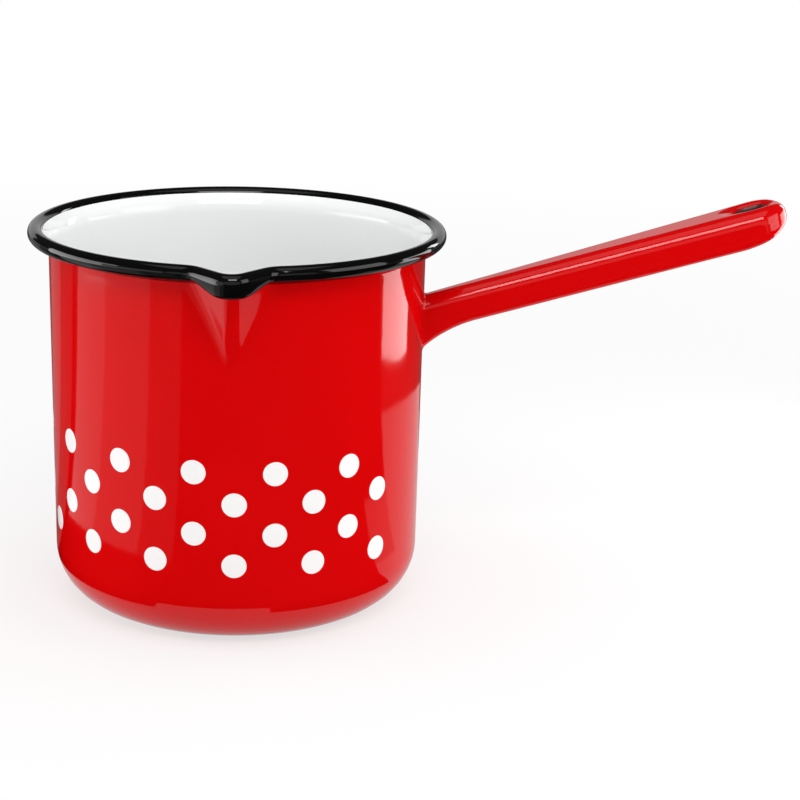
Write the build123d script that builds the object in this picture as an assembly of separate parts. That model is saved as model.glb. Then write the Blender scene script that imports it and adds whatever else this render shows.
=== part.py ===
"""Enamelled steel milk pan with a pressed pouring spout and a hollow welded handle.

The pan stands on Z = 0 with its axis on Z. The spout points to -Y and the handle to +X. Lengths are in millimetres.
Each coat of enamel is the skin between two copies of one outline, one of them set further in than the other.
"""

from build123d import *
import os
from math import asin, atan, cos, degrees, hypot, radians, sin, tan

os.makedirs("parts", exist_ok=True)

# Sheet and coats
body_sheet = 0.8
handle_sheet = 1.0
coat = 0.3
transfer = 0.12

# Body
wall_radius = 70.0
wall_taper = 1.0
base_corner = 20.5
base_lift = 1.0
ring_width = 7.0
ring_step = 3.0
ring_round = 2.0

# Rolled rim
rim_height = 143.3
bead_radius = 2.85
bead_reach = 4.67
flare_angle = 45.0
flare_round = 7.0
flare_gap = 1.1
trim_overlap = 1.3

# Spout
spout_depth = 36.3
keel_angle = 25.0
keel_round = 3.8
flank_angle = 40.0
spout_crease = 4.5
lip_gap = 1.2
lip_corner = 10.0
lip_droop = 3.0

# Handle
handle_drop = 33.45
handle_angle = 16.4
handle_length = 141.3
root_width = 11.8
grip_width = 24.8
grip_thickness = 13.8
shoulder_round = 5.3
under_round = 3.4
root_drop = 3.65
root_run = 18.6
nose_run = 21.0
nose_lift = 4.9
root_weld = 1.0
seam_width = 2.4

# Hanging slot
slot_length = 12.0
slot_width = 8.0
slot_lip = 2.2

# Dots
dot_diameter = 9.0
dots_per_row = 15
dot_rows = 4
lowest_row = 33.3
row_spacing = 11.45
dot_turn = 0.7
row_tilt = 1.1
bare_row = 2
bare_dots = (-4, -3)
handle_turn = 90.0
bare_at_handle = 68.0

# One overrun serves every cut, and one share runs the handle's arcs past their ends
overrun = 10.0
arc_overrun_share = 1.4

# The turned body's seam line lies at the back, away from the handle and the spout
seam_turn = 90.0

bead_height = rim_height - bead_radius
bead_circle = wall_radius + bead_reach
form_top = rim_height + bead_radius
keel_foot = rim_height - spout_depth
handle_height = rim_height - handle_drop


def crossing(first, second):
    """Point where two lines in the profile plane meet."""
    (ax, az), (bx, bz) = first
    (cx, cz), (dx, dz) = second
    spread = (ax - bx) * (cz - dz) - (az - bz) * (cx - dx)
    one = ax * bz - az * bx
    two = cx * dz - cz * dx
    return (one * (cx - dx) - (ax - bx) * two) / spread, (one * (cz - dz) - (az - bz) * two) / spread


def moved_left(line, inset):
    """The same line, moved to the left of its direction."""
    (ax, az), (bx, bz) = line
    length = hypot(bx - ax, bz - az)
    left_x, left_z = -(bz - az) / length * inset, (bx - ax) / length * inset
    return (ax + left_x, az + left_z), (bx + left_x, bz + left_z)


def wall_at(height):
    """Outer radius of the plain wall at a height."""
    return wall_radius - wall_taper * (1 - height / rim_height)


def round_body(inset):
    """Solid of the pan without its spout: lifted base, standing ring, wall and flared mouth."""
    flat = wall_at(0) - base_corner
    ring = flat - ring_width
    rise, run = cos(radians(flare_angle)), sin(radians(flare_angle))
    touch = (bead_circle - flare_gap * rise, bead_height + flare_gap * run)
    outline = [
        ((0, base_lift), (ring - ring_step, base_lift)),
        ((ring - ring_step, base_lift), (ring, 0)),
        ((ring, 0), (flat, 0)),
        ((wall_at(0), 0), (wall_radius, rim_height)),
        ((touch[0] - run * bead_radius, touch[1] - rise * bead_radius), touch),
    ]
    lines = [moved_left(line, inset) for line in outline]
    top = ((0, form_top), (wall_radius, form_top))
    corners = [crossing(a, b) for a, b in zip(lines, [*lines[1:], top])]
    points = [(0, base_lift + inset), *corners]
    skin = FilletPolyline(
        *[(x, 0, z) for x, z in points],
        radius=[ring_round - inset, ring_round + inset, base_corner - inset, flare_round + inset],
    )
    close = Polyline((corners[-1][0], 0, form_top), (0, 0, form_top), (0, 0, base_lift + inset))
    return Rot(0, 0, seam_turn) * revolve(Face(Wire([*skin.edges(), *close.edges()])), Axis.Z)


def keel(inset):
    """Slanting prism with a rounded V section that bulges out of the wall as the spout."""
    lean = radians(keel_angle)
    along = Vector(0, -sin(lean), cos(lean))
    section = Plane(origin=(0, -wall_at(keel_foot), keel_foot), x_dir=(1, 0, 0), z_dir=along)
    half_angle = atan(tan(radians(flank_angle)) / cos(lean))
    tip = keel_round - (keel_round - inset) / sin(half_angle)
    back = wall_radius - base_corner * 2
    half_width = (back - tip) * tan(half_angle)
    nose = FilletPolyline((half_width, back), (0, tip), (-half_width, back), radius=keel_round - inset)
    rear = Line((-half_width, back), (half_width, back))
    blank = section.offset(-spout_depth) * Face(Wire([*nose.edges(), rear.edge()]))
    return extrude(blank, spout_depth * 4, dir=along)


def vessel(inset):
    """Whole outline of the pan, spout included, its crease rounded."""
    pot = round_body(inset)
    below_top = Pos(0, 0, form_top / 2) * Box(wall_radius * 4, wall_radius * 4, form_top)
    spout = keel(inset) & below_top
    joined = pot + spout
    crease = [edge for edge in new_edges(pot, spout, combined=joined) if edge.center().Z < form_top]
    return fillet(crease, spout_crease + inset)


def mouth():
    """Closed line through the middle of the rolled rim: a circle drawn out to the lip of the spout."""
    rise = (bead_height - keel_foot) * tan(radians(keel_angle))
    nose = keel_round + lip_gap
    tip = wall_at(keel_foot) + rise + lip_gap
    corner = tip + nose * (1 / sin(radians(flank_angle)) - 1)
    back = wall_radius / 2
    half_width = (corner - back) * tan(radians(flank_angle))
    beak = Polygon((0, -corner), (half_width, -back), (-half_width, -back), align=None)
    outline = (Circle(bead_circle) + beak).face()
    front = outline.vertices().sort_by(Axis.Y)[:3]
    outline = fillet(front[1:], lip_corner)
    outline = fillet(outline.vertices().sort_by(Axis.Y)[0], nose)
    return outline.face().outer_wire()


def tube(line, radius):
    """Round bar of a radius along a line."""
    start = line.edges()[0]
    ring = Plane(origin=start @ 0, z_dir=start % 0) * Circle(radius)
    return sweep(ring, path=line)


def handle_side(inset):
    """Side outline of the handle, seen from -Y: flat top, underside dropped at the root and lifted at the nose."""
    half = grip_thickness / 2
    root_arc = (root_run**2 + root_drop**2) / (2 * root_drop)
    nose_arc = (nose_run**2 + nose_lift**2) / (2 * nose_lift)
    nose_start = handle_length - nose_run
    root_turn = degrees(asin(root_run * arc_overrun_share / root_arc))
    nose_turn = degrees(asin(nose_run * arc_overrun_share / nose_arc))
    drop = CenterArc((root_run, -half - root_arc), root_arc + inset, 90, root_turn)
    lift = CenterArc((nose_start, nose_arc - half), nose_arc - inset, 270, nose_turn)
    low, high = drop @ 1, lift @ 1
    belly = Line(drop @ 0, lift @ 0)
    lid = Polyline(low, (low.X, half - inset), (high.X, half - inset), high)
    return Face(Wire([*drop.edges(), *belly.edges(), *lift.edges(), *lid.edges()]))


def handle_plan(inset):
    """Outline of the handle from above: tapers towards the root, round at the far end."""
    root, grip = root_width / 2, grip_width / 2
    reach = handle_length - grip
    flare = asin((grip - root) / reach)
    radius = grip - inset
    touch_x, touch_y = reach - radius * sin(flare), radius * cos(flare)
    start_x = -root_run
    start_y = (radius + sin(flare) * (start_x - reach)) / cos(flare)
    tip = ThreePointArc((touch_x, touch_y), (reach + radius, 0), (touch_x, -touch_y))
    sides = Polyline((touch_x, -touch_y), (start_x, -start_y), (start_x, start_y), (touch_x, touch_y))
    return Face(Wire([*tip.edges(), *sides.edges()]))


def handle(inset):
    """Whole outline of the handle in place, with rounded edges and its hanging slot."""
    slab = extrude(Plane.XZ * handle_side(inset), grip_width, both=True)
    plan = extrude(handle_plan(inset), grip_width * 2, both=True)
    blank = slab & plan
    rims = blank.edges().filter_by(Axis.Y, reverse=True).filter_by(Axis.Z, reverse=True)
    upper = [edge for edge in rims if edge.center().Z > 0]
    blank = fillet(upper, shoulder_round - inset)
    rims = blank.edges().filter_by(Axis.Y, reverse=True).filter_by(Axis.Z, reverse=True)
    floor = -grip_thickness / 2 + inset + nose_lift * 2
    lower = [edge for edge in rims if edge.center().Z < 0 and edge.bounding_box().min.Z < floor]
    lower = [edge for edge in lower if abs(edge.center().Y) > 0]
    blank = fillet(lower, under_round - inset)
    eye = SlotOverall(slot_length + 2 * inset, slot_width + 2 * inset)
    punch = Pos(handle_length - grip_width / 2, 0, 0) * extrude(eye, grip_width, both=True)
    pierced = blank - punch
    mouths = new_edges(blank, punch, combined=pierced).filter_by(Axis.Z, reverse=True)
    pierced = fillet(mouths, slot_lip - inset)
    return Pos(wall_radius, 0, handle_height) * Rot(0, -handle_angle, 0) * pierced


def largest(shape):
    """Keeps the main solid of a cut and drops the offcuts."""
    return shape.solids().sort_by(SortBy.VOLUME)[-1]


def lowest(shape):
    """Keeps the lowest solid of a cut and drops the offcuts."""
    return shape.solids().sort_by(Axis.Z)[0]


def drooping_lip(rim_line):
    """Bar of enamel that hangs below the bead at the tip of the spout."""
    beak = Wire(rim_line.edges().sort_by(Axis.Y)[:3])
    hinge = beak.bounding_box().max.Y
    reach = hinge - beak.bounding_box().min.Y
    dip = degrees(asin(lip_droop / reach))
    hung = beak.rotate(Axis((0, hinge, bead_height), (1, 0, 0)), dip)
    return tube(hung, bead_radius - coat / 2)


def build_enamel_and_steel():
    """Steel pressings, their welds and the coats of enamel over them."""
    steel_face, lining_face, inside = coat, coat + body_sheet, 2 * coat + body_sheet
    bore = steel_face + handle_sheet
    pan = {inset: vessel(inset) for inset in (0, steel_face, lining_face, inside)}
    grip = {inset: handle(inset) for inset in (-root_weld, 0, steel_face, bore)}

    rim_line = Pos(0, 0, bead_height) * mouth()
    bead = tube(rim_line, bead_radius)
    curl = tube(rim_line, bead_radius - coat)
    hollow = tube(rim_line, bead_radius - coat - body_sheet)
    trim = tube(rim_line, bead_radius + trim_overlap)

    sheet = largest(pan[steel_face] - pan[lining_face] - curl)
    lining = largest(pan[lining_face] - pan[inside] - bead)
    rim_band = lowest(((pan[0] - pan[steel_face]) & trim) - bead)
    lip = drooping_lip(rim_line) - pan[0] - bead

    steel = pan[steel_face] + grip[steel_face]
    root = new_edges(pan[steel_face], grip[steel_face], combined=steel)
    welded = fillet(root, root_weld + coat)
    dressed = pan[0] + grip[0]
    root = new_edges(pan[0], grip[0], combined=dressed)
    dressed = fillet(root, root_weld)
    red = largest(dressed - welded - trim)
    pan_red = largest(red - grip[-root_weld])
    foot = Cylinder(wall_at(0) - base_corner, base_corner, align=(Align.CENTER, Align.CENTER, Align.MIN))

    nook = Pos(wall_radius, 0, handle_height) * Box(root_run, root_width * 2, root_width * 2)
    tube_steel = largest(grip[steel_face] - grip[bore] - pan[steel_face])
    seam_reach = handle_length - grip_width
    seam_bar = Pos(seam_reach / 2, 0, -grip_thickness) * Box(seam_reach, seam_width, grip_thickness * 2)
    seam_bar = Pos(wall_radius, 0, handle_height) * Rot(0, -handle_angle, 0) * seam_bar
    return {
        "body_shell": sheet + (curl - hollow),
        "lining_enamel": lining,
        "rim_enamel": (bead - curl - sheet - lining) + rim_band + lip,
        "wall_enamel": pan_red - foot,
        "base_enamel": pan_red & foot,
        "handle_enamel": largest(red & grip[-root_weld]),
        "handle_shell": largest(tube_steel - seam_bar),
        "handle_seam_weld": largest(tube_steel & seam_bar),
        "handle_root_weld": largest((welded & nook) - steel),
    }


def dot_row(row):
    """One row of printed dots, as thin round patches that follow the wall and stop short of the handle."""
    height = lowest_row + (dot_rows - row) * row_spacing
    sleeve_low, sleeve_high = height - row_spacing, height + row_spacing
    outer = Cone(wall_at(sleeve_low) + transfer, wall_at(sleeve_high) + transfer, 2 * row_spacing)
    inner = Cone(wall_at(sleeve_low), wall_at(sleeve_high), 2 * row_spacing)
    sleeve = Pos(0, 0, height) * (outer - inner)
    shift = 0 if row % 2 == 0 else -1 / 2
    count = dots_per_row
    patches = []
    for index in range(-(count // 2), count - count // 2):
        turn = dot_turn + (index + shift) * 360 / count
        if abs(turn - handle_turn) < bare_at_handle / 2 or (row == bare_row and index in bare_dots):
            continue
        drop = tan(radians(row_tilt)) * wall_at(height) * sin(radians(turn))
        punch = Rot(0, 0, turn) * Pos(0, -wall_radius, height - drop) * Rot(90, 0, 0)
        patches.append((punch * Cylinder(dot_diameter / 2, overrun)) & sleeve)
    return Compound(children=[solid for patch in patches for solid in patch.solids()])


pieces = build_enamel_and_steel()
for number in range(1, dot_rows + 1):
    pieces[f"dots_row_{number}"] = dot_row(number)
for name, piece in pieces.items():
    export_step(piece, f"parts/{name}.step")
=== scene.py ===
"""Looks of an enamelled milk pan with a pressed spout, a black rim, a dotted wall and a hollow handle."""

import bpy
import numpy as np
from math import acos, asin, atan, cos, hypot, pi, radians, sin, sqrt, tan
from mathutils import Matrix, Vector


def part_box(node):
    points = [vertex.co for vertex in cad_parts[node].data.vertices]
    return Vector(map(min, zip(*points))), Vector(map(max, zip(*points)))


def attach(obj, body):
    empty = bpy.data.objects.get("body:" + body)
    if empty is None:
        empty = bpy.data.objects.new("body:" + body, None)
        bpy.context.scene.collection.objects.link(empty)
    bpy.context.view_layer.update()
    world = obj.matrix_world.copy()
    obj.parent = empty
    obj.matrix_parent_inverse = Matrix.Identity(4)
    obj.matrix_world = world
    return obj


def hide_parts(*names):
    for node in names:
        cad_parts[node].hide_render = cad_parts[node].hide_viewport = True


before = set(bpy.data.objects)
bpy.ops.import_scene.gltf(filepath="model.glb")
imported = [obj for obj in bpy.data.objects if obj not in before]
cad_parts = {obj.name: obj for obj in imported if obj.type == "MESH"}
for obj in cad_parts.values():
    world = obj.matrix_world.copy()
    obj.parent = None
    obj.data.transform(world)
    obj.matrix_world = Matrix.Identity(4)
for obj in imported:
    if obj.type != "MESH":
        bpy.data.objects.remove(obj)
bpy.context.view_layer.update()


# Outside of the body. One sheet of steel is drawn into a straight pot that stands on a ring in its base. A
# spout is pressed out of its wall. Red enamel covers it from the rolled rim down and right across the base.

rim_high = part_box("rim_enamel")[1]
base_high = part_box("base_enamel")[1]
rim_height = rim_high.z
ring_outer = base_high.x
mouth_radius = 0.070
wall_taper = 0.001
base_lift = 0.001
ring_width = 0.007
ring_step = 0.003
ring_round = 0.002
bead_radius = 0.00285
bead_circle = rim_high.x - bead_radius
bead_height = rim_height - bead_radius
flare_angle = radians(45)
flare_round = 0.007
flare_gap = 0.0011
spout_depth = 0.0363
spout_foot = rim_height - spout_depth
spout_lean = radians(25)
spout_round = 0.0038
spout_half_angle = radians(40)
spout_crease = 0.0036
coat_depth = 0.0005
foot_radius = mouth_radius - wall_taper
base_corner = foot_radius - ring_outer
fine_step = 0.0011
coarse_step = 0.005
fine_turn = radians(0.5)
coarse_turn = radians(2)
spout_span = radians(28)


def wall_at(height):
    """Outer radius of the plain wall."""
    return mouth_radius - wall_taper * (1 - height / rim_height)


def crossing(first, second):
    """Point where two lines meet, each given by two points."""
    (ax, az), (bx, bz) = first
    (cx, cz), (dx, dz) = second
    spread = (ax - bx) * (cz - dz) - (az - bz) * (cx - dx)
    one, two = ax * bz - az * bx, cx * dz - cz * dx
    return np.array([one * (cx - dx) - (ax - bx) * two, one * (cz - dz) - (az - bz) * two]) / spread


def unit(vector):
    """The same direction, one unit long."""
    return np.array(vector) / np.linalg.norm(vector)


def rounded(points, radii, steps=10):
    """Polyline whose inner corners are turned into arcs."""
    line = [np.array(points[0])]
    for before, corner, after, radius in zip(points, points[1:], points[2:], radii):
        to_before, to_after = unit(np.subtract(before, corner)), unit(np.subtract(after, corner))
        half = acos(np.dot(to_before, to_after)) / 2
        middle = corner + unit(to_before + to_after) * radius / sin(half)
        start, end = corner + to_before * radius / tan(half), corner + to_after * radius / tan(half)
        for share in np.linspace(0, 1, steps + 1):
            spoke = (start - middle) * (1 - share) + (end - middle) * share
            line.append(middle + unit(spoke) * radius)
    line.append(np.array(points[-1]))
    return line


def side_line(inset):
    """Profile of the pot from the middle of its base to the flare, set in from the outer face."""
    ring_inner = ring_outer - ring_width
    rise, run = cos(flare_angle), sin(flare_angle)
    touch = (bead_circle - flare_gap * rise, bead_height + flare_gap * run)
    outline = [
        ((0, base_lift), (ring_inner - ring_step, base_lift)),
        ((ring_inner - ring_step, base_lift), (ring_inner, 0)),
        ((ring_inner, 0), (ring_outer, 0)),
        ((foot_radius, 0), (mouth_radius, rim_height)),
        ((touch[0] - run * bead_radius, touch[1] - rise * bead_radius), touch),
    ]
    lines = []
    for (ax, az), (bx, bz) in outline:
        length = hypot(bx - ax, bz - az)
        aside = np.array([az - bz, bx - ax]) / length * inset
        lines.append((np.add((ax, az), aside), np.add((bx, bz), aside)))
    corners = [crossing(a, b) for a, b in zip(lines, lines[1:])]
    points = [(0, base_lift + inset), *corners, lines[-1][1]]
    radii = [ring_round - inset, ring_round + inset, base_corner - inset, flare_round + inset]
    return rounded(points, radii)


def spout_at(turn, height, inset):
    """Radius that the V of the spout reaches at a turn from its middle, or 0 away from the front."""
    front_share, least_slant = 0.5, 0.1
    reach = wall_at(spout_foot) + (height - spout_foot) * tan(spout_lean)
    slope = tan(spout_half_angle) / cos(spout_lean)
    half_angle = atan(slope)
    nose = spout_round - inset
    tip = spout_round - nose / sin(half_angle)
    across, back = np.abs(np.sin(turn)), np.cos(turn) * cos(spout_lean)
    flank = (reach * cos(spout_lean) - tip) * slope / np.maximum(across + slope * back, least_slant)
    deep = reach * cos(spout_lean) - spout_round
    a, b, c = across**2 + back**2, -2 * back * deep, deep**2 - nose**2
    round_nose = (-b + np.sqrt(np.maximum(b * b - 4 * a * c, 0))) / (2 * a)
    on_nose = flank * across < nose * cos(half_angle)
    return np.where(np.cos(turn) > front_share, np.where(on_nose, round_nose, flank), 0)


def melted(first, second, width):
    """The larger of two radii, with a smooth hollow where they meet."""
    near = np.clip(1 - np.abs(first - second) / width, 0, 1)
    return np.maximum(first, second) + width * near**3 / 6


def body_turns():
    """Turns round the pot from the middle of the spout, closer together over the spout."""
    fine = np.arange(-spout_span, spout_span, fine_turn)
    count = round((2 * pi - 2 * spout_span) / coarse_turn)
    coarse = np.linspace(spout_span, 2 * pi - spout_span, count + 1)[:-1]
    return np.concatenate([fine, coarse])


def pot_rings(inset, crease):
    """Rings of points from the middle of the base up to the rim."""
    line = side_line(inset)
    turns = body_turns()
    rings = []
    for start, end in zip(line, line[1:]):
        step = fine_step if start[1] > spout_foot - spout_depth / 2 or end[1] > spout_foot else coarse_step
        count = max(1, round(np.linalg.norm(end - start) / step))
        for share in np.arange(1, count + 1) / count:
            radius, height = start + (end - start) * share
            reach = np.full(len(turns), radius)
            if height > spout_foot - spout_depth / 2:
                reach = melted(reach, spout_at(turns, height, inset), crease)
            level = np.full(len(turns), height)
            rings.append(np.stack([reach * np.sin(turns), -reach * np.cos(turns), level], 1))
    return rings


def smooth_object(name, points, faces, edges=()):
    """Smooth mesh object from points and faces, in place and in the scene."""
    mesh = bpy.data.meshes.new(name)
    mesh.from_pydata([tuple(p) for p in points], edges, [tuple(f) for f in faces])
    mesh.polygons.foreach_set("use_smooth", [True] * len(mesh.polygons))
    mesh.update()
    piece = bpy.data.objects.new(name, mesh)
    bpy.context.scene.collection.objects.link(piece)
    return piece


def cup(name, rings, outwards):
    """Cup-shaped skin from rings, closed by a pole at the middle of its base."""
    count = len(rings[0])
    pole = (0, 0, rings[0][0][2])
    points = [pole, *np.concatenate(rings)]
    faces = [(0, 1 + (j + 1) % count, 1 + j) for j in range(count)]
    for i in range(len(rings) - 1):
        for j in range(count):
            here, along = 1 + i * count + j, 1 + i * count + (j + 1) % count
            faces.append((here, along, along + count, here + count))
    if not outwards:
        faces = [f[::-1] for f in faces]
    return smooth_object(name, points, faces)


def thicken(piece, depth):
    """Gives a skin its thickness, away from the face that shows."""
    solid = piece.modifiers.new("coat", "SOLIDIFY")
    solid.thickness = depth
    solid.offset = -1
    return settle(piece)


def settle(piece):
    """Applies what a piece's modifiers make, and leaves none on it."""
    bpy.context.view_layer.update()
    evaluated = piece.evaluated_get(bpy.context.evaluated_depsgraph_get())
    mesh = bpy.data.meshes.new_from_object(evaluated)
    piece.modifiers.clear()
    piece.data = mesh
    mesh.name = piece.name
    return piece


class Value:
    """A socket in a node tree. Arithmetic on it adds Math nodes to the tree."""

    def __init__(self, tree, socket):
        self.tree, self.socket = tree, socket

    def __add__(self, other):
        return self.tree.maths("ADD", self, other)

    def __sub__(self, other):
        return self.tree.maths("SUBTRACT", self, other)

    def __mul__(self, other):
        return self.tree.maths("MULTIPLY", self, other)

    def __truediv__(self, other):
        return self.tree.maths("DIVIDE", self, other)

    __radd__ = __add__
    __rmul__ = __mul__


class Tree:
    """Adds nodes to a node tree."""

    def __init__(self, tree):
        self.nodes, self.links = tree.nodes, tree.links

    def node(self, kind, settings=None, sockets=None, output=0):
        """Adds a node, then sets or links its sockets, and returns one of its outputs."""
        made = self.nodes.new(kind)
        for key, value in (settings or {}).items():
            if key == "stops":
                ramp = made.color_ramp.elements
                while len(ramp) < len(value):
                    ramp.new(1)
                for stop, (place, shade) in zip(ramp, value):
                    stop.position, stop.color = place, (shade, shade, shade, 1)
            else:
                setattr(made, key, value)
        for key, value in (sockets or {}).items():
            if isinstance(value, Value):
                self.links.new(value.socket, made.inputs[key])
            else:
                made.inputs[key].default_value = value
        return Value(self, made.outputs[output])

    def maths(self, operation, *values):
        """Adds a Math node."""
        return self.node("ShaderNodeMath", {"operation": operation}, dict(enumerate(values)))


class Finish(Tree):
    """Node tree of one material."""

    def __init__(self, name):
        self.material = bpy.data.materials.new(name)
        self.material.use_nodes = True
        super().__init__(self.material.node_tree)
        self.nodes.clear()

    def blend(self, share, first, second):
        """Mixes two colours."""
        return self.node("ShaderNodeMix", {"data_type": "RGBA"}, {0: share, 6: first, 7: second}, 2)

    def surface(self, shader):
        """Ends the tree with a shader and gives the material."""
        end = self.nodes.new("ShaderNodeOutputMaterial")
        self.links.new(shader.socket, end.inputs["Surface"])
        return self.material


def fired_enamel(name, colour, deep_colour, roughness=0.045, speck_colour=None, hollow=None):
    """Glossy fired enamel: an uneven coat whose shade follows its thickness, with fine specks and painted
    shade down in a hollow.
    """
    ripple_scale, grain_scale, cloud_scale, speck_scale = 150, 900, 28, 700
    ripple_detail, grain_detail, cloud_detail = 1.0, 2.0, 3.0
    speck_core, speck_edge, sparse_from, sparse_to, speck_strength = 0.03, 0.07, 0.68, 0.72, 0.35
    grain_height, bump_strength, bump_depth = 0.05, 0.12, 0.0002
    cloud_gloss, grain_gloss = 0.03, 0.02
    painted_slot_shade, hollow_gloss = 0.08, 0.35
    glass_index = 1.5
    finish = Finish(name)
    place = finish.node("ShaderNodeTexCoord", output="Object")

    def noise(scale, detail):
        sockets = {"Vector": place, "Scale": scale, "Detail": detail}
        return finish.node("ShaderNodeTexNoise", {}, sockets, "Fac")

    cloud, ripple = noise(cloud_scale, cloud_detail), noise(ripple_scale, ripple_detail)
    grain = noise(grain_scale, grain_detail)
    pores = finish.node("ShaderNodeTexVoronoi", {}, {"Vector": place, "Scale": speck_scale}, "Distance")
    specks = finish.node("ShaderNodeValToRGB", {"stops": [(speck_core, 1), (speck_edge, 0)]}, {"Fac": pores})
    sparse = finish.node("ShaderNodeValToRGB", {"stops": [(sparse_from, 0), (sparse_to, 1)]}, {"Fac": cloud})
    marks = specks * sparse * speck_strength
    shade = finish.blend(cloud, (*deep_colour, 1), (*colour, 1))
    shade = finish.blend(marks, shade, (*(speck_colour or deep_colour), 1))
    height = ripple + grain * grain_height
    slope = {"Strength": bump_strength, "Distance": bump_depth, "Height": height}
    bump = finish.node("ShaderNodeBump", {}, slope)
    gloss = roughness + cloud * cloud_gloss + grain * grain_gloss
    # Where a hollow mask is given, the colour darkens to deep red down in it, as painted shade in the
    # handle's slot, and the gloss roughens there.
    if hollow:
        depth = finish.node("ShaderNodeAttribute", {"attribute_name": hollow}, {}, "Fac")
        painted_slot_shade_colour = tuple(part * painted_slot_shade for part in deep_colour)
        shade = finish.blend(depth, shade, (*painted_slot_shade_colour, 1))
        gloss = gloss + depth * hollow_gloss
    sockets = {"Base Color": shade, "Roughness": gloss, "IOR": glass_index, "Normal": bump}
    return finish.surface(finish.node("ShaderNodeBsdfPrincipled", {}, sockets))


red_shades = (0.62, 0.0010, 0.0018), (0.56, 0.0006, 0.0010)
red_enamel = fired_enamel("red_enamel", *red_shades)
outside = cup("red_outside", pot_rings(0, spout_crease), True)
thicken(outside, coat_depth)
outside.data.materials.append(red_enamel)
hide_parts("wall_enamel", "base_enamel", "body_shell")
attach(outside, "root")


# Lining. White enamel is poured round the inside and fired. It runs up the flare onto the inside of the rim.
# It follows the steel, so the base shows the standing ring as a shallow groove and the spout as a channel.

wall_thickness = 0.0014
lining_crease = spout_crease + wall_thickness

white_shades, white_speck = ((0.91, 0.92, 0.915), (0.885, 0.895, 0.89)), (0.50, 0.48, 0.47)
white_enamel = fired_enamel("white_enamel", *white_shades, speck_colour=white_speck)
lining = cup("white_lining", pot_rings(wall_thickness, lining_crease), False)
thicken(lining, coat_depth)
lining.data.materials.append(white_enamel)
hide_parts("lining_enamel")
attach(lining, "root")


# Rolled rim. The edge of the sheet is curled outwards into a bead, which is dipped in black enamel after the
# other coats. The enamel fills the corner under the bead and gathers into a hanging drop at the spout's lip.

lip_gap = 0.0012
lip_corner = 0.010
lip_droop = 0.0030
skirt_reach = 0.0030
skirt_turn = radians(-137)
skirt_sharpness = 14.0
bead_steps = 48
path_step = 0.0012


def arc(middle, radius, start, end):
    """Points along an arc, without its last one."""
    count = max(2, round(abs(end - start) * radius / path_step))
    turns = start + (end - start) * np.arange(count) / count
    return [(middle[0] + radius * cos(t), middle[1] + radius * sin(t)) for t in turns]


def rim_path():
    """Closed line through the middle of the bead, a circle drawn out to the lip, and where the lip begins."""
    nose = spout_round + lip_gap
    tip = wall_at(spout_foot) + (bead_height - spout_foot) * tan(spout_lean) + lip_gap
    apex = Vector((0, -(tip + nose * (1 / sin(spout_half_angle) - 1))))
    along = Vector((sin(spout_half_angle), cos(spout_half_angle)))
    out = Vector((along.y, -along.x))
    base = apex + out * lip_corner
    half = base.dot(along)
    run = -half - sqrt(half * half - base.length_squared + (bead_circle + lip_corner) ** 2)
    corner = base + along * run
    hinge = apex + along * run
    bearing = np.arctan2(corner.y, corner.x)
    flank_turn = np.arctan2(-out.y, -out.x)
    right = arc((0, nose - tip), nose, -pi / 2, -spout_half_angle)
    count = round((hinge - apex).length / path_step)
    leave = Vector((0, nose - tip)) + out * nose
    line = [tuple(leave.lerp(hinge, i / count)) for i in range(count)]
    turn_in = arc(corner, lip_corner, flank_turn, bearing + pi)
    side = arc((0, 0), bead_circle, bearing, pi / 2)
    right = right + line + turn_in + side
    left = [(-x, y) for x, y in right[1:]][::-1]
    return right + [(0.0, bead_circle)] + left, hinge.y, -tip


rim_points, lip_start, lip_end = rim_path()


class Growth(Tree):
    """Geometry Nodes tree with named inputs that grows a piece from a starting shape."""

    def __init__(self, name, start, lengths, counts):
        self.group = bpy.data.node_groups.new(name, "GeometryNodeTree")
        super().__init__(self.group)
        face = self.group.interface
        face.new_socket("Geometry", in_out="OUTPUT", socket_type="NodeSocketGeometry")
        face.new_socket(start, in_out="INPUT", socket_type="NodeSocketGeometry")
        for kind, titles in (("NodeSocketFloat", lengths), ("NodeSocketInt", counts)):
            for title in titles:
                face.new_socket(title, in_out="INPUT", socket_type=kind)
        self.entry = self.nodes.new("NodeGroupInput")

    def given(self, name):
        """The value of a named input."""
        return Value(self, self.entry.outputs[name])

    def part(self, vector, axis):
        """One part of a vector."""
        return self.node("ShaderNodeSeparateXYZ", {}, {0: vector}, axis)

    def moved(self, shape, **to):
        """The shape moved to a Position or by an Offset."""
        return self.node("GeometryNodeSetPosition", {}, {"Geometry": shape, **to})

    def end(self, shape, material):
        """Ends the tree with a plain smooth mesh in its material."""
        real = self.node("GeometryNodeRealizeInstances", {}, {"Geometry": shape})
        smooth = self.node("GeometryNodeSetShadeSmooth", {}, {"Geometry": real})
        coloured = self.node("GeometryNodeSetMaterial", {}, {"Geometry": smooth, "Material": material})
        self.links.new(coloured.socket, self.nodes.new("NodeGroupOutput").inputs[0])
        return self

    def run(self, piece, values):
        """Runs the tree on a piece with values for its named inputs, and keeps the plain mesh."""
        grown = piece.modifiers.new("grown", "NODES")
        grown.node_group = self.group
        for item in self.group.interface.items_tree:
            if item.name in values:
                grown[item.identifier] = values[item.name]
        return settle(piece)


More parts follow.
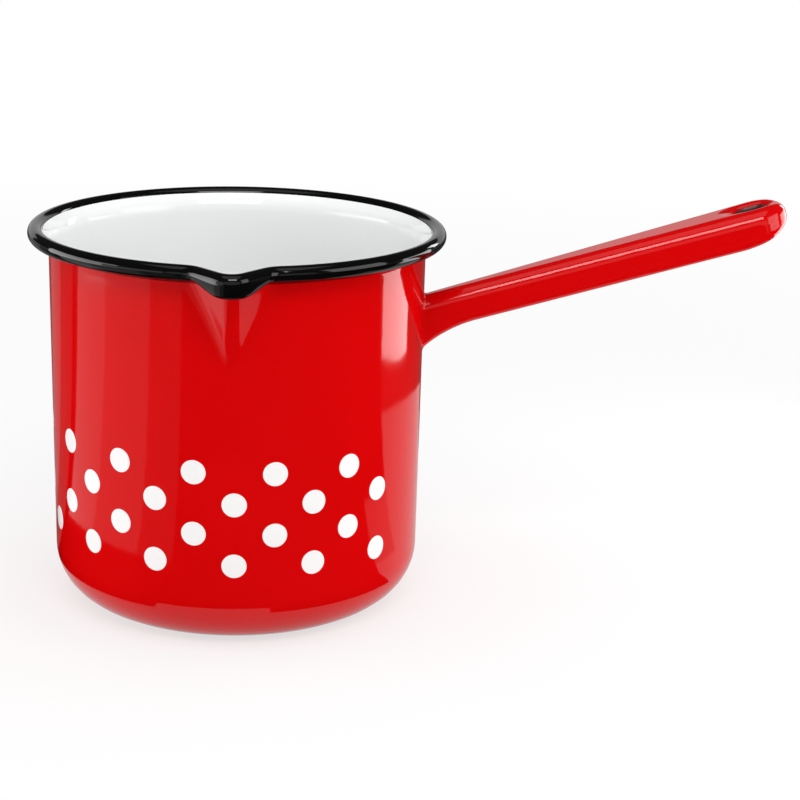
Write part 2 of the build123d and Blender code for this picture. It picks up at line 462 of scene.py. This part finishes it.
def bead_tree(material):
    """Sweeps a round bar with a skirt of enamel along a line, and lets its underside hang at the lip."""
    droop_from, droop_full = 0.35, -0.75
    names = ("Bead Radius", "Skirt Reach", "Skirt Turn", "Skirt Sharpness", "Lip Start", "Lip End", "Droop")
    tree = Growth("rolled_bead", "Geometry", names, ("Steps",))
    circle = {"Resolution": tree.given("Steps"), "Radius": 1.0}
    ring = tree.node("GeometryNodeCurvePrimitiveCircle", {"mode": "RADIUS"}, circle, "Curve")
    place = tree.node("GeometryNodeInputPosition")
    turn = tree.maths("ARCTAN2", tree.part(place, "Y") * -1.0, tree.part(place, "X"))
    toward = tree.maths("MAXIMUM", tree.maths("COSINE", turn - tree.given("Skirt Turn")), 0.0)
    skirt = tree.maths("POWER", toward, tree.given("Skirt Sharpness")) * tree.given("Skirt Reach")
    reach = tree.given("Bead Radius") + skirt
    scaled = tree.node("ShaderNodeVectorMath", {"operation": "SCALE"}, {0: place, "Scale": reach})
    marked = tree.node(
        "GeometryNodeStoreNamedAttribute", {"data_type": "FLOAT", "domain": "POINT"},
        {"Geometry": tree.moved(ring, Position=scaled), "Name": "around", "Value": turn},
    )
    line = tree.node("GeometryNodeMeshToCurve", {}, {"Mesh": tree.given("Geometry")})
    upright = tree.node("GeometryNodeSetCurveNormal", {"mode": "Z_UP"}, {"Curve": line})
    swept = tree.node("GeometryNodeCurveToMesh", {}, {"Curve": upright, "Profile Curve": marked})
    around = tree.node("GeometryNodeInputNamedAttribute", {"data_type": "FLOAT"}, {"Name": "around"})

    def eased(value, low, high, top):
        ends = {"Value": value, "From Min": low, "From Max": high, "To Max": top}
        return tree.node("ShaderNodeMapRange", {"interpolation_type": "SMOOTHSTEP"}, ends)

    along = eased(tree.part(place, "Y"), tree.given("Lip Start"), tree.given("Lip End"), tree.given("Droop"))
    under = eased(tree.maths("SINE", around), droop_from, droop_full, 1.0)
    drop = tree.node("ShaderNodeCombineXYZ", {}, {"Z": along * under * -1.0})
    return tree.end(tree.moved(swept, Offset=drop), material)


black_shades, black_speck = ((0.003, 0.003, 0.0035), (0.0015, 0.0015, 0.0015)), (0.02, 0.02, 0.02)
black_enamel = fired_enamel("black_enamel", *black_shades, speck_colour=black_speck)
count = len(rim_points)
loop = [(i, (i + 1) % count) for i in range(count)]
rim = smooth_object("rolled_rim", [(x, y, bead_height) for x, y in rim_points], [], loop)
bead_tree(black_enamel).run(rim, {
    "Bead Radius": bead_radius, "Skirt Reach": skirt_reach, "Skirt Turn": skirt_turn,
    "Skirt Sharpness": skirt_sharpness, "Lip Start": lip_start, "Lip End": lip_end, "Droop": lip_droop,
    "Steps": bead_steps,
})
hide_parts("rim_enamel")
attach(rim, "root")


# Handle. A sheet is wrapped into a hollow grip, flat on top, with rounded edges and a hanging slot drawn in
# at its end. A weld closes it underneath and another joins its root to the wall, all under red enamel.

handle_low, handle_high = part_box("handle_enamel")
handle_height = 0.10985
handle_angle = radians(16.4)
handle_length = 0.1413
root_half_width = 0.0059
grip_half_width = (handle_high.y - handle_low.y) / 2
half_thickness = 0.0069
shoulder_round = 0.0053
under_round = 0.0034
root_drop, root_run = 0.00365, 0.0186
nose_lift, nose_run = 0.0049, 0.0210
root_weld = 0.001
weld_ripple = 0.00025
weld_ripples = 11
weld_edge = 0.0017
weld_depth = 0.0005
seam_rise, seam_half_width = 0.00022, 0.0011
slot_half_length, slot_half_width = 0.006, 0.004
slot_lip = 0.0022
dish_depth = 0.0016
dish_half_length, dish_half_width = 0.0135, 0.0075
arc_reach_share, side_round_share = 1.4, 1 / 8
net_step = 0.0007

handle_place = Matrix.Translation((mouth_radius, 0, handle_height)) @ Matrix.Rotation(-handle_angle, 4, "Y")


def meet_round(first, second, radius):
    """Distance to what two shapes share, with a round edge where they cross."""
    inner = np.minimum(-radius, np.maximum(first, second))
    return inner + np.hypot(np.maximum(first + radius, 0), np.maximum(second + radius, 0))


def join_round(first, second, radius):
    """Distance to two shapes as one, with a round hollow where they meet."""
    outer = np.maximum(radius, np.minimum(first, second))
    return outer - np.hypot(np.maximum(radius - first, 0), np.maximum(radius - second, 0))


def grip_distance(p):
    """Distance to the handle's outer face, in the handle's own axes: X along it, Z up."""
    x, y, z = p[..., 0], np.abs(p[..., 1]), p[..., 2]
    reach = handle_length - grip_half_width
    flare = asin((grip_half_width - root_half_width) / reach)
    side = y * cos(flare) - (x - reach) * sin(flare) - grip_half_width
    end = np.hypot(x - reach, y) - grip_half_width
    plan = np.where((x - reach) * cos(flare) + y * sin(flare) > 0, end, side)
    slot_x = np.maximum(np.abs(x - reach) - (slot_half_length - slot_half_width), 0)
    slot = np.hypot(slot_x, y) - slot_half_width
    oval = ((x - reach) / dish_half_length) ** 2 + (y / dish_half_width) ** 2
    dish = dish_depth * np.clip(1 - oval, 0, 1) ** 2
    root_arc = (root_run**2 + root_drop**2) / (2 * root_drop)
    nose_arc = (nose_run**2 + nose_lift**2) / (2 * nose_lift)
    drop = root_arc - np.sqrt(root_arc**2 - np.clip(root_run - x, 0, root_run * arc_reach_share) ** 2)
    into_nose = np.clip(x - handle_length + nose_run, 0, nose_run * arc_reach_share)
    lift = nose_arc - np.sqrt(nose_arc**2 - into_nose**2)
    seam = seam_rise * np.exp(-((y / seam_half_width) ** 2)) * (x < reach - grip_half_width)
    top = z - half_thickness + dish
    under = -z - half_thickness - drop + lift - seam
    above, below = meet_round(plan, top, shoulder_round), meet_round(plan, under, under_round)
    return meet_round(meet_round(above, below, under_round * side_round_share), -slot, slot_lip)


def wall_distance(p):
    """Distance to the wall's outer face, for points in the handle's own axes."""
    turned = np.array(handle_place.to_3x3())
    world = p @ turned.T + np.array(handle_place.translation)
    return np.hypot(world[..., 0], world[..., 1]) - wall_at(world[..., 2])


def welded_distance(p):
    """Distance to the handle and the wall as one, with the rippled root weld."""
    ripple = weld_ripple * np.sin(weld_ripples * np.arctan2(p[..., 1], p[..., 2] + root_drop / 2))
    return join_round(grip_distance(p), wall_distance(p), root_weld + ripple)


def handle_distance(p):
    """Distance to the handle's coat alone, which ends just inside the wall."""
    outside_wall = np.maximum(welded_distance(p), -wall_distance(p) - weld_depth)
    return np.maximum(outside_wall, grip_distance(p) - weld_edge)


def surface_net(distance, low, high, step):
    """Points and quads of the surface where a distance is zero, one point to each grid cell it crosses."""
    axes = [np.arange(a, b + step, step) for a, b in zip(low, high)]
    inside = distance(np.stack(np.meshgrid(*axes, indexing="ij"), -1)) < 0
    corners = sum(
        inside[i:inside.shape[0] - 1 + i, j:inside.shape[1] - 1 + j, k:inside.shape[2] - 1 + k].astype(int)
        for i in (0, 1) for j in (0, 1) for k in (0, 1)
    )
    crossed = (corners > 0) & (corners < 8)
    number = np.full(crossed.shape, -1)
    number[crossed] = np.arange(crossed.sum())
    cells = np.argwhere(crossed)
    points = np.array(low) + (cells + 0.5) * step
    quads = []
    for axis in range(3):
        one, two = (axis + 1) % 3, (axis + 2) % 3
        before = np.moveaxis(inside, axis, 0)[:-1]
        after = np.moveaxis(inside, axis, 0)[1:]
        edges = np.argwhere(before != after)
        leaving = (before & ~after)[tuple(edges.T)]
        order = [axis, *[a for a in range(3) if a != axis]]
        at = np.zeros_like(edges)
        at[:, order] = edges
        around = []
        for step_one, step_two in ((-1, -1), (0, -1), (0, 0), (-1, 0)):
            cell = at.copy()
            cell[:, one] += step_one
            cell[:, two] += step_two
            around.append(number[tuple(cell.T)])
        found = np.stack(around, 1)
        found[~leaving] = found[~leaving][:, ::-1]
        quads.append(found)
    return points, np.concatenate(quads)


def slope_of(distance, p):
    """Direction in which a distance grows at each point, and how fast."""
    small = 0.00002
    shifts = np.eye(3) * small
    return np.stack([(distance(p + s) - distance(p - s)) / (2 * small) for s in shifts], 1)


def drawn_on(distance, points, quads, rounds):
    """Spreads points evenly and draws them onto the surface."""
    spread_share, draws, least_slope = 0.6, 3, 0.2
    ends = np.concatenate([quads[:, [i, (i + 1) % 4]] for i in range(4)])
    for _ in range(rounds):
        total, share = np.zeros_like(points), np.zeros(len(points))
        np.add.at(total, ends[:, 0], points[ends[:, 1]])
        np.add.at(share, ends[:, 0], 1)
        points = points * (1 - spread_share) + total / share[:, None] * spread_share
        for _ in range(draws):
            slope = slope_of(distance, points)
            away = np.maximum((slope**2).sum(1), least_slope)
            points = points - slope * (distance(points) / away)[:, None]
    return points


def slot_depth(p):
    """How far points lie down inside the hanging slot, from 0 on the outer face to 1; the enamel darkens by
    it as painted shade.
    """
    shade_start, shade_run, shade_edge = 0.0003, 0.0007, 0.0019
    x, y, z = p.T
    reach = handle_length - grip_half_width
    slot_x = np.maximum(np.abs(x - reach) - (slot_half_length - slot_half_width), 0)
    oval = ((x - reach) / dish_half_length) ** 2 + (y / dish_half_width) ** 2
    top = half_thickness - dish_depth * np.clip(1 - oval, 0, 1) ** 2
    within = np.hypot(slot_x, y) < slot_half_width + shade_edge
    down = np.clip((top - z - shade_start) / shade_run, 0, 1)
    up = np.clip((z + half_thickness - shade_start) / shade_run, 0, 1)
    return down * up * within


margin, net_rounds = 0.003, 6
net_start = -0.012
net_low = (net_start, -grip_half_width - margin, -half_thickness - root_drop - 2 * margin)
net_high = (handle_length + margin, grip_half_width + margin, half_thickness + margin)
net_points, net_quads = surface_net(handle_distance, net_low, net_high, net_step)
net_points = drawn_on(handle_distance, net_points, net_quads, net_rounds)
net_normals = slope_of(welded_distance, net_points)
handle = smooth_object("red_handle", net_points, net_quads)
handle.data.normals_split_custom_set_from_vertices([Vector(n).normalized() for n in net_normals])
# The depth inside the slot is stored for the handle's enamel, which darkens with it as painted shade inside
# the slot.
handle.data.attributes.new("slot_depth", "FLOAT", "POINT").data.foreach_set("value", slot_depth(net_points))
handle.data.transform(handle_place)
handle.data.materials.append(fired_enamel("red_handle_enamel", *red_shades, hollow="slot_depth"))
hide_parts("handle_enamel", "handle_shell", "handle_seam_weld", "handle_root_weld")
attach(handle, "root")


# Dots. Four staggered rows of round dots are printed on one sheet of transfer paper, wrapped round the red
# wall and fired into it. The sheet stops short of the handle at both ends, and the second row lacks two dots.

dot_radius = 0.0045
dots_per_row = 15
dot_rows = 4
lowest_row = 0.0333
row_spacing = 0.01145
dot_turn = radians(0.7)
row_tilt = radians(1.1)
bare_row, first_bare, last_bare = 2, 3, 4
handle_turn, bare_at_handle = radians(90), radians(68)
dot_thickness = 0.00007
dot_shoulder = 0.00025
dot_corners = 40
flat_shares = 0.35, 0.7
edge_shares = (1, 1), (1 / 3, 0.7), (0, -1), (1, -3)


def transfer_tree(material):
    """Lays dots on a flat sheet in staggered rows, then wraps the sheet round the wall."""
    names = (
        "Lowest Row", "Row Spacing", "Turn", "Tilt", "Foot Radius", "Wall Slope", "Handle Turn", "Half Gap",
    )
    counts = ("Dots Per Row", "Rows", "Bare Row", "First Bare", "Last Bare")
    tree = Growth("printed_transfer", "Dot", names, counts)
    per_row, foot = tree.given("Dots Per Row"), tree.given("Foot Radius")

    def compared(first, operation, second):
        kind = {"data_type": "FLOAT", "operation": operation}
        return tree.node("FunctionNodeCompare", kind, {0: first, 1: second})

    def joined(first, operation, second):
        return tree.node("FunctionNodeBooleanMath", {"operation": operation}, {0: first, 1: second})

    spots = tree.node("GeometryNodePoints", {}, {"Count": per_row * tree.given("Rows")})
    number = tree.node("GeometryNodeInputIndex")
    row = tree.maths("FLOOR", number / per_row)
    place = number - row * per_row
    shift = tree.maths("FLOORED_MODULO", row, 2.0) * -0.5
    column = place + shift - tree.maths("FLOOR", per_row / 2.0)
    pitch = tree.maths("DIVIDE", 2 * pi, per_row)
    turn = column * pitch + tree.given("Turn")
    up = row * tree.given("Row Spacing") + tree.given("Lowest Row")
    flat = tree.node("ShaderNodeCombineXYZ", {}, {"X": turn * foot, "Y": up})
    after_first = compared(place, "GREATER_EQUAL", tree.given("First Bare"))
    before_last = compared(place, "LESS_EQUAL", tree.given("Last Bare"))
    in_row = compared(row, "EQUAL", tree.given("Bare Row"))
    left_out = joined(in_row, "AND", joined(after_first, "AND", before_last))
    aside = tree.maths("ABSOLUTE", turn - tree.given("Handle Turn"))
    bare = joined(left_out, "OR", compared(aside, "LESS_THAN", tree.given("Half Gap")))
    laid = {"Geometry": tree.moved(spots, Position=flat), "Selection": bare}
    kept = tree.node("GeometryNodeDeleteGeometry", {"domain": "POINT"}, laid)
    dots = tree.node("GeometryNodeInstanceOnPoints", {}, {"Points": kept, "Instance": tree.given("Dot")})
    real = tree.node("GeometryNodeRealizeInstances", {}, {"Geometry": dots})
    here = tree.node("GeometryNodeInputPosition")
    angle = tree.part(here, "X") / foot
    sine, cosine = tree.maths("SINE", angle), tree.maths("COSINE", angle)
    height = tree.part(here, "Y") - tree.maths("TANGENT", tree.given("Tilt")) * foot * sine
    radius = foot + height * tree.given("Wall Slope") + tree.part(here, "Z")
    wrapped = {"X": radius * sine, "Y": radius * cosine * -1.0, "Z": height}
    return tree.end(tree.moved(real, Position=tree.node("ShaderNodeCombineXYZ", {}, wrapped)), material)


def flat_dot():
    """One dot of the transfer, flat in XY, with a rounded edge that sinks into the red."""
    levels = [(dot_radius * share, dot_thickness) for share in flat_shares]
    levels += [(dot_radius - dot_shoulder * inward, dot_thickness * up) for inward, up in edge_shares]
    points = [(0, 0, dot_thickness)]
    for radius, height in levels:
        for corner in range(dot_corners):
            turn = 2 * pi * corner / dot_corners
            points.append((radius * cos(turn), radius * sin(turn), height))
    faces = [(0, 1 + j, 1 + (j + 1) % dot_corners) for j in range(dot_corners)]
    for i in range(len(levels) - 1):
        for j in range(dot_corners):
            here, along = 1 + i * dot_corners + j, 1 + i * dot_corners + (j + 1) % dot_corners
            faces.append((here, here + dot_corners, along + dot_corners, along))
    last = 1 + (len(levels) - 1) * dot_corners
    faces.append(tuple(last + j for j in reversed(range(dot_corners))))
    return smooth_object("printed_dots", points, faces)


dot_enamel = fired_enamel("dot_enamel", (0.87, 0.86, 0.86), (0.83, 0.82, 0.82), roughness=0.08)
dots = flat_dot()
transfer_tree(dot_enamel).run(dots, {
    "Lowest Row": lowest_row, "Row Spacing": row_spacing, "Turn": dot_turn, "Tilt": row_tilt,
    "Foot Radius": foot_radius, "Wall Slope": wall_taper / rim_height, "Dots Per Row": dots_per_row,
    "Rows": dot_rows, "Bare Row": dot_rows - bare_row, "First Bare": first_bare, "Last Bare": last_bare,
    "Handle Turn": handle_turn, "Half Gap": bare_at_handle / 2,
})
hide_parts("dots_row_1", "dots_row_2", "dots_row_3", "dots_row_4")
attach(dots, "root")


# Studio. The pan stands on a plain pale floor in a soft room, lit by softboxes overhead, in front, behind and
# at both sides. Dark and pale cards, seen only by reflections, keep the red wall deep and the rim black.

floor_reach = 6.0
camera_place, camera_target = Vector((0.02153, -0.77006, 0.29832)), Vector((0.06172, -0.00323, 0.07639))
camera_roll, camera_lens, camera_sensor = radians(1.52), 94.455, 36.0
room_light, mirrored_room_light = 0.66, 0.03
card_lift, card_reach, card_near = 0.0006, 3.0, 0.078
white = (1, 1, 1, 1)


def floor_finish():
    """Pale floor that keeps the pan's shadow and turns white further out. Reflections see it evenly lit."""
    near_reach, far_reach, near_white, mirrored_light = 0.15, 0.9, 0.66, 0.60
    floor_shade = (0.86, 0.86, 0.86, 1)
    finish = Finish("pale_floor")
    place = finish.node("ShaderNodeTexCoord", output="Object")
    reach = finish.node("ShaderNodeVectorMath", {"operation": "LENGTH"}, {0: place}, "Value")
    spread = {"Value": reach, "From Min": near_reach, "From Max": far_reach, "To Min": near_white}
    whiten = finish.node("ShaderNodeMapRange", {}, spread)
    camera_ray = finish.node("ShaderNodeLightPath", output="Is Camera Ray")
    glossy_ray = finish.node("ShaderNodeLightPath", output="Is Glossy Ray")
    matte = finish.node("ShaderNodeBsdfDiffuse", {}, {"Color": floor_shade})
    bright = finish.node("ShaderNodeEmission", {}, {"Color": white, "Strength": 1.0})
    mirrored = finish.node("ShaderNodeEmission", {}, {"Color": white, "Strength": mirrored_light})
    seen = finish.node("ShaderNodeMixShader", {}, {0: camera_ray * whiten, 1: matte, 2: bright})
    return finish.surface(finish.node("ShaderNodeMixShader", {}, {0: glossy_ray, 1: seen, 2: mirrored}))


def card(name, corners, light):
    """Flat card that only mirror-like reflections see."""
    finish = Finish(name)
    glow = finish.node("ShaderNodeEmission", {}, {"Color": white, "Strength": light})
    piece = smooth_object(name, corners, [tuple(range(len(corners)))])
    piece.data.materials.append(finish.surface(glow))
    piece.visible_camera = piece.visible_diffuse = piece.visible_shadow = piece.visible_transmission = False


def fan(start_turn, end_turn, near, far, steps=25):
    """Corners of a ring sector round the pan's axis, its turns taken from the front towards the handle."""
    turns = np.radians(np.linspace(start_turn, end_turn, steps))
    inner = [(near * sin(t), -near * cos(t), card_lift) for t in turns]
    outer = [(far * sin(t), -far * cos(t), card_lift) for t in turns[::-1]]
    return inner + outer


def softbox(name, place, target, width, height, light):
    """Rectangular lamp that faces a point, its strength given as the brightness of its face."""
    data = bpy.data.lights.new(name, "AREA")
    data.shape, data.size, data.size_y = "RECTANGLE", width, height
    data.energy = pi * width * height * light
    lamp = bpy.data.objects.new(name, data)
    bpy.context.scene.collection.objects.link(lamp)
    lamp.location = place
    lamp.rotation_euler = (Vector(target) - Vector(place)).to_track_quat("-Z", "Y").to_euler()
    lamp.visible_camera = False


square = [(x * floor_reach, y * floor_reach, 0) for x, y in ((-1, -1), (1, -1), (1, 1), (-1, 1))]
floor = smooth_object("floor", square, [(0, 1, 2, 3)])
floor.data.materials.append(floor_finish())

# Each card on the floor: its start and end turn in degrees, near and far reach, and light.
floor_cards = {
    "right_near_card": (14, 74, card_near, 0.20, 0.0),
    "flank_card": (74, 92, 0.12, 0.20, 0.35),
    "right_front_card": (14, 92, 0.20, card_reach, 0.0),
    "front_card": (-30, 14, 0.086, card_reach, 0.0),
    "left_near_card": (-105, -30, card_near, 0.15, 0.0),
    "left_front_card": (-49, -30, 0.15, card_reach, 0.12),
    "left_card": (-80, -49, 0.15, card_reach, 0.36),
    "gap_card": (-111, -105, card_near, card_reach, 0.0),
    "left_back_card": (-128, -111, card_near, card_reach, 0.10),
    "far_left_card": (-150, -128, card_near, card_reach, 0.25),
    "right_card": (92, 150, 0.32, card_reach, 0.05),
    "back_card": (150, 210, 0.20, card_reach, 0.08),
}
for name, (*sector, light) in floor_cards.items():
    card(name, fan(*sector), light)

# Each standing card: its two ends, lower and upper edge, and light.
standing_cards = {
    "backdrop": ((-1.2, 1.5), (1.2, 1.5), 0.06, 0.62, 0.60),
    "front_room": ((-0.7, -1.0), (0.9, -1.0), 0.03, 0.40, 0.45),
    "left_room": ((-0.60, -0.21), (-0.40, -0.55), 0.03, 0.22, 0.75),
}
for name, (start, end, low, high, light) in standing_cards.items():
    card(name, [(*start, low), (*end, low), (*end, high), (*start, high)], light)

softbox("top_light", (0.0, -0.14, 1.0), (0, 0, 0.1), 0.9, 0.6, 0.6)
softbox("front_light", (0.1, -0.7, 0.8), (0, 0.05, 0.1), 0.60, 0.30, 5.8)
softbox("left_light", (-0.62, -0.02, 0.15), (0, 0, 0.15), 0.60, 0.34, 3.0)
softbox("right_light", (0.376, 0.107, 0.105), (0.03, -0.017, 0.105), 0.19, 0.20, 3.6)
softbox("side_light", (0.70, -0.30, 0.34), (0, 0, 0.1), 0.50, 0.46, 1.9)
softbox("back_light", (0.62, 0.62, 0.34), (0, 0, 0.12), 0.12, 0.22, 6.0)

world = bpy.data.worlds.new("soft_room")
world.use_nodes = True
room = Tree(world.node_tree)
glossy_ray = room.node("ShaderNodeLightPath", output="Is Glossy Ray")
camera_ray = room.node("ShaderNodeLightPath", output="Is Camera Ray")
levels = {"Value": glossy_ray, "To Min": room_light, "To Max": mirrored_room_light}
dimmed = room.node("ShaderNodeMapRange", {}, levels)
sky = room.nodes["Background"]
sky.inputs["Color"].default_value = white
room.links.new(room.maths("MAXIMUM", dimmed, camera_ray).socket, sky.inputs["Strength"])
bpy.context.scene.world = world

data = bpy.data.cameras.new("camera")
data.lens, data.sensor_width = camera_lens, camera_sensor
camera = bpy.data.objects.new("camera", data)
bpy.context.scene.collection.objects.link(camera)
look = (camera_target - camera_place).to_track_quat("-Z", "Y").to_matrix().to_4x4()
camera.matrix_world = Matrix.Translation(camera_place) @ look @ Matrix.Rotation(camera_roll, 4, "Z")
bpy.context.scene.camera = camera
bpy.context.scene.view_settings.view_transform = "Standard"
